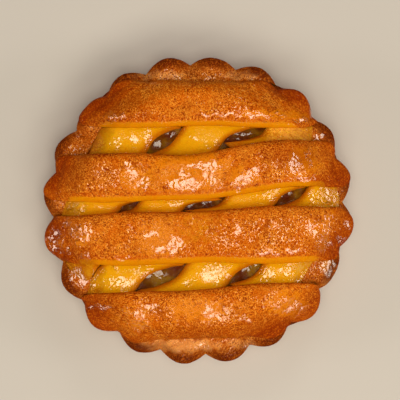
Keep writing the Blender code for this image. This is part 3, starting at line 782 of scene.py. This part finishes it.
# Where the oven browned the top strips. The thin line at top strip 2's back edge on the left is painted
# shade. The small dark marks at the end of the list sit in creases and are partly painted shade.
BROWNING_AND_PAINTED_SHADE = (
    (-30.0, 33.0, 12.0, 6.0), (30.0, 38.0, 8.0, 3.0), (-40.0, 13.0, 9.0, 6.0), (-35.0, 17.0, 8.0, 1.4),
    (30.0, 17.0, 9.0, 4.0), (42.0, 8.0, 6.0, 5.0), (-42.0, -6.0, 6.0, 4.0), (-40.0, -15.0, 8.0, 3.0),
    (-30.0, -30.0, 6.0, 4.0), (20.0, -38.0, 10.0, 4.0), (0.0, -39.0, 14.0, 3.0), (42.0, -12.0, 6.0, 4.0),
    (-12.2, -31.8, 2.5, 1.3), (8.3, -30.0, 0.7, 0.7), (21.8, -4.9, 0.8, 3.5), (-16.3, 30.3, 1.5, 1.0),
    (38.0, -2.5, 2.5, 1.2),
)
TOP_GLINTS = (
    (20.0, 29.9, 9.0, 0.7), (33.0, 28.4, 3.0, 0.9), (-26.5, 29.3, 3.4, 1.5), (36.6, 31.0, 1.8, 1.3),
    (7.0, 30.0, 6.0, 0.4), (2.2, 14.1, 5.0, 1.4), (3.8, 10.4, 2.2, 2.4), (-4.2, 8.0, 6.0, 1.9),
    (-4.8, 11.5, 1.8, 1.3), (12.0, 7.2, 1.7, 1.5), (14.5, 9.6, 2.4, 1.6), (17.8, 11.8, 2.4, 1.4),
    (-21.8, 13.5, 1.6, 2.2), (-20.6, 10.8, 1.2, 1.6), (-17.0, 8.2, 1.8, 2.2), (30.7, 14.3, 1.8, 3.6),
    (35.2, 16.2, 1.1, 2.8), (34.2, 9.8, 3.8, 1.0), (31.4, 10.6, 1.8, 1.4), (40.8, -3.3, 2.5, 1.8),
    (39.6, -8.9, 3.0, 4.8), (37.0, -6.0, 2.2, 3.0), (48.0, -4.8, 1.2, 1.8), (46.0, -9.5, 1.8, 1.2),
    (-37.2, -7.8, 3.4, 3.8), (-45.4, -10.1, 2.8, 4.6), (-42.0, -4.5, 1.2, 1.6), (-35.5, -14.7, 2.4, 1.3),
    (-41.0, -13.0, 1.2, 1.8), (-7.2, -11.1, 2.4, 3.0), (-12.1, -12.7, 2.2, 1.4), (-15.0, -7.7, 2.2, 0.9),
    (-24.0, -15.3, 3.0, 0.6), (22.0, -13.5, 4.5, 0.7), (12.4, -6.2, 1.0, 1.6), (23.2, -4.1, 1.2, 1.4),
    (30.0, -13.0, 3.0, 0.7), (28.2, -30.2, 5.0, 3.0), (-18.7, -35.0, 3.0, 3.6), (-15.0, -30.5, 2.4, 1.0),
    (-22.5, -32.0, 2.0, 1.2), (3.0, -31.6, 1.2, 1.8), (6.0, -33.6, 3.4, 1.0), (9.0, -31.8, 1.1, 1.6),
    (-31.0, -31.0, 4.0, 0.9), (14.5, -34.5, 2.5, 0.9),
)
TOP_SPARKLES = (
    (-15.4, -35.9, 10.0, 5.0), (-25.6, -33.7, 7.0, 4.0), (23.0, -7.1, 8.0, 5.0), (33.0, -7.0, 6.0, 6.0),
    (-37.8, -8.1, 6.0, 6.0), (-33.0, 7.9, 9.0, 1.5), (16.6, 31.3, 12.0, 2.0), (29.4, 11.1, 7.0, 5.0),
    (-25.0, 29.7, 5.0, 1.5), (26.2, -30.5, 8.0, 6.0), (7.0, -34.7, 6.0, 4.0), (9.6, -9.5, 6.0, 5.0),
    (20.0, 35.0, 10.0, 4.5), (-31.0, 11.5, 9.0, 4.0), (43.0, -9.0, 5.0, 8.0), (-44.0, -9.0, 5.0, 8.0),
)
TOP_SPARKLE_SHARE = 0.4


def open_share(x, y):
    """1 over the open gaps between the lower strips, 0 over the strips themselves."""
    clear = np.full_like(x, 1.0)
    for _name, foot, lean, half_width in LOWER_STRIPS:
        away = np.abs((x - foot) * math.sin(lean) - y * math.cos(lean)) - half_width
        clear = np.minimum(clear, away)
    return smooth_step(-1.5 * MM, 5.0 * MM, clear)


def top_underside(x, y, side):
    """Height of a top strip's underside: over the lower strips, sagging between them, then on the rim."""
    radius = np.hypot(x, y)
    over_strips = bed_height(radius) + GAP + lower_thickness(radius - 0.8 * MM)
    deck = mix(over_strips, RIM_HEIGHT, smooth_step(43.8 * MM, TOP_THIN_TO, radius))
    sag = SAG * open_share(x, y) * (1.0 - side * side) * (1.0 - smooth_step(33.0 * MM, TOP_THIN_FROM, radius))
    return deck + GAP - sag


def corner_inset(number, side):
    """How far a top strip's end is rounded back, most at the corners that the round edge cuts sharp."""
    sharp = (number == 0) & (side < 0.0) | (number == 3) & (side > 0.0)
    return np.where(sharp, SHARP_CORNER_INSET, CORNER_INSET) * np.abs(side) ** 5


def strip_end(row, direction, edge):
    """x at which each row along a top strip meets its circle, on the left (-1) or the right (1)."""
    inner = np.zeros(len(edge))
    outer = np.full(len(edge), direction * 60.0 * MM)
    for _halving in range(24):
        middle = 0.5 * (inner + outer)
        inside = np.hypot(middle, row(middle)) < edge
        inner = np.where(inside, middle, inner)
        outer = np.where(inside, outer, middle)
    return inner


def nose(travelled, length, rounding):
    """Height share near a strip's two ends, which round down like the end of a pressed band."""
    away = np.clip(np.minimum(travelled, length - travelled) / rounding, 0.0, 1.0)
    return np.sqrt(1.0 - (1.0 - away) ** 2)


# Dough that browned under its egg glaze: orange with a rough light and dark grain, and smooth,
# golden and shiny only where the glaze stayed.
browned_dough = crust_material(
    "browned_egg_glazed_dough", base=colour("#ce6000"), pale=colour("#f09a2c"), dark=colour("#8a2c00"),
    brown=colour("#7a2000"), glazed=colour("#e48000"), amber=colour("#c45200"), flank=colour("#dc8800"),
)
for number, (name, back, front, bend) in enumerate(TOP_STRIPS):
    width = back[0] - front[0]
    side, level = strip_section(FRONT_SHOULDER, BACK_SHOULDER, width, TOP_THICKNESS, 0.2 * MM)

    def row(x, side=side, back=back, front=front, bend=bend):
        return mix(edge_line(front, bend, x), edge_line(back, bend, x), 0.5 + 0.5 * side)

    edge = ROUND_EDGE - corner_inset(number, side)
    left, right = strip_end(row, -1.0, edge), strip_end(row, 1.0, edge)
    station = crowd_ends(np.linspace(-1.0, 1.0, TOP_RINGS))[:, None]
    x = mix(left[None, :], right[None, :], 0.5 + 0.5 * station)
    y = row(x)
    rounded = nose(x - left, right - left, 1.8 * MM)

    # Its ends are trimmed to the flutes, pressed thin on the rim, and follow the flutes down.
    radius = np.hypot(x, y)
    edge_radius = outline_radius(np.arctan2(y, x), RIM_HEIGHT) + 0.1 * MM
    trimmed = mix(1.0, edge_radius / ROUND_EDGE, smooth_step(41.0 * MM, ROUND_EDGE, radius))
    x, y, radius = x * trimmed, y * trimmed, radius * trimmed
    thickness = mix(TOP_THICKNESS, TOP_END_THICKNESS, smooth_step(TOP_THIN_FROM, TOP_THIN_TO, radius))
    pressed = PRESS_DEPTH * np.exp(-(((radius - PRESS_RADIUS) / PRESS_WIDTH) ** 2)) * np.sign(level)[None, :]
    valley = VALLEY_DROP * (1.0 - flute_lobe(np.arctan2(y, x))) * smooth_step(43.0 * MM, 49.0 * MM, radius)
    sunk = TOP_END_SINK * smooth_step(45.0 * MM, 49.0 * MM, radius) + valley
    underside = top_underside(x, y, side)
    facing_rim = {0: side, 3: -side}.get(number, 0.0 * side)
    skirt = (smooth_step(SKIRT_FROM, 1.0, facing_rim) * (1.0 - level))[None, :]
    sunk = sunk + np.clip(underside - RIM_HEIGHT - GAP, 0.0, None) * skirt
    z = underside - sunk + (thickness * level[None, :] - pressed) * mix(0.05, 1.0, rounded)

    # Its front side is smooth with glaze and pale yellow, which is also painted light on the side that faces
    # the lamp, with an amber line above it. Its ends are brown, and a faint brown along its back edge is
    # painted shade.
    across = side[None, :] + 0.0 * x
    ends = smooth_step(40.0 * MM, 48.5 * MM, radius)
    inner = 1.0 - smooth_step(39.0 * MM, 43.0 * MM, radius)
    # The pale front flank is partly glazed dough and partly painted light: only the side facing the lamp gets
    # it.
    flank = (1.0 - smooth_step(-0.9, -0.66, across)) * inner * GLAZED_AND_LIT_FRONTS[number]
    strip = skin(f"glazed_{name}", np.stack([x, y, z], axis=-1), {
        "grain": (1.0 - 0.8 * flank) * (1.0 - 0.5 * spots(x, y, SMOOTHER_GRAIN)),
        "loose": smooth_step(0.05, 0.3, level)[None, :] * mix(0.2, 1.0, rounded),
        "pool": np.clip(0.15 + 0.75 * spots(x, y, GLAZE_POOLS) + 0.7 * (flank > 0.5), 0.0, 1.0),
        "glint": np.maximum(spots(x, y, TOP_GLINTS), TOP_SPARKLE_SHARE * spots(x, y, TOP_SPARKLES)),
        "flank": np.maximum(flank, 0.5 * spots(x, y, SMOOTHER_GRAIN)),
        "amber": 0.6 * np.exp(-(((across - AMBER_LINE) / AMBER_WIDTH) ** 2)) * inner,
        # The faint brown along the back edge is painted shade on the side turned away from the lamp.
        "brown": np.clip(
            0.7 * ends + 0.05 * smooth_step(0.82, 0.98, across) + 0.5 * spots(x, y, BROWNING_AND_PAINTED_SHADE), 0.0, 0.9,
        ),
    }, tuck=16)
    run_tree(strip, dough_relief, {
        "Material": browned_dough, "Wave Length": 8.0 * MM, "Wave Height": 0.35 * MM, "Facet Size": 1.7 * MM,
        "Ripple Length": 2.2 * MM, "Ripple Height": 0.05 * MM, "Seed": 20.0 + number,
    })
    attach(strip, "root")
    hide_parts(name)


# ---- Floor, light and camera --------------------------------------------------------------
# A plain pale floor. One wide lamp from the front models the pie, one nearly overhead gives the
# glaze its highlights, and weaker ones behind and low at both sides light the slopes. The camera
# is straight above the pie.

bpy.ops.mesh.primitive_plane_add(size=6.0, location=(0.0, 0.0, 0.0))
floor = bpy.context.object
floor.name = "floor"
paint = bpy.data.materials.new("pale_matt_paint")
paint.use_nodes = True
paint_shader = paint.node_tree.nodes["Principled BSDF"]
paint_shader.inputs["Base Color"].default_value = colour("#c8c2ba")
paint_shader.inputs["Roughness"].default_value = 0.8
paint_shader.inputs["Specular IOR Level"].default_value = 0.2
floor.data.materials.append(paint)

world = bpy.data.worlds.new("studio")
scene.world = world
world.use_nodes = True
world.node_tree.nodes["Background"].inputs["Color"].default_value = (1.0, 0.95, 0.88, 1.0)
world.node_tree.nodes["Background"].inputs["Strength"].default_value = 0.06


def soft_light(name, azimuth, elevation, distance, size, power, tint):
    """Rectangular lamp that looks at the pie. Azimuth is its bearing from +X, in degrees."""
    lamp = bpy.data.lights.new(name, "AREA")
    lamp.shape = "RECTANGLE"
    lamp.size, lamp.size_y = size
    lamp.energy = power
    lamp.color = tint
    holder = bpy.data.objects.new(name, lamp)
    turn, lift = math.radians(azimuth), math.radians(elevation)
    level = math.cos(lift)
    spot = (level * math.cos(turn), level * math.sin(turn), math.sin(lift))
    holder.location = [distance * part for part in spot]
    holder.rotation_euler = (0.5 * math.pi - lift, 0.0, turn + 0.5 * math.pi)
    scene.collection.objects.link(holder)


soft_light("key", -72.0, 55.0, 1.0, (0.75, 0.42), 5.0, (1.0, 0.93, 0.8))
soft_light("top", -72.0, 86.0, 1.2, (0.5, 0.5), 7.0, (1.0, 0.92, 0.78))
soft_light("back", 75.0, 36.0, 1.4, (0.35, 0.5), 2.4, (1.0, 0.95, 0.88))
soft_light("right", -5.0, 22.0, 1.4, (0.4, 0.3), 4.0, (1.0, 0.93, 0.9))
soft_light("left", 185.0, 22.0, 1.4, (0.4, 0.3), 3.4, (1.0, 0.93, 0.9))

MM_A_PIXEL = 0.32 * MM
FRAME_PIXELS = 400
PIE_CENTRE_PIXEL = (198.0, 209.7)
CAMERA_HEIGHT = 0.62
camera = bpy.data.cameras.new("overhead")
camera.sensor_width = 36.0
camera.lens = camera.sensor_width * (CAMERA_HEIGHT - RIM_HEIGHT) / (FRAME_PIXELS * MM_A_PIXEL)
camera.clip_start = 0.01
camera.clip_end = 20.0
camera_holder = bpy.data.objects.new("overhead", camera)
camera_holder.location = (
    (FRAME_PIXELS / 2 - PIE_CENTRE_PIXEL[0]) * MM_A_PIXEL,
    (PIE_CENTRE_PIXEL[1] - FRAME_PIXELS / 2) * MM_A_PIXEL,
    CAMERA_HEIGHT,
)
scene.collection.objects.link(camera_holder)
scene.camera = camera_holder
scene.view_settings.view_transform = "Standard"
